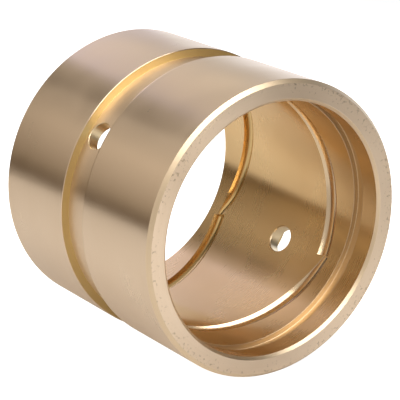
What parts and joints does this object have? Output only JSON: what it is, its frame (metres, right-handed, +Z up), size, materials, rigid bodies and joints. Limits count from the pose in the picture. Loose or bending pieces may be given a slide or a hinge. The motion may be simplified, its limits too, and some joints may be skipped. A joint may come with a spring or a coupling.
{
  "type": "sleeve bushing",
  "caption": "Plain cylindrical bronze sleeve bushing with an outer grease groove, radial oil holes, a figure-eight oil groove and a ring groove in the bore.",
  "frame": {"origin": "on the axis of the bore, at mid-length", "axes": "+Y along the bore, away from the end with the ring groove; +Z up, as the bushing lies on its side; +X to the right"},
  "size_m": [0.105, 0.0926, 0.105],
  "materials": {
    "bronze": "fine turned bronze, satin, with faint rings from the tool"
  },
  "bodies": {
    "root": {"bushing_sleeve": "bronze"}
  },
  "joints": []
}
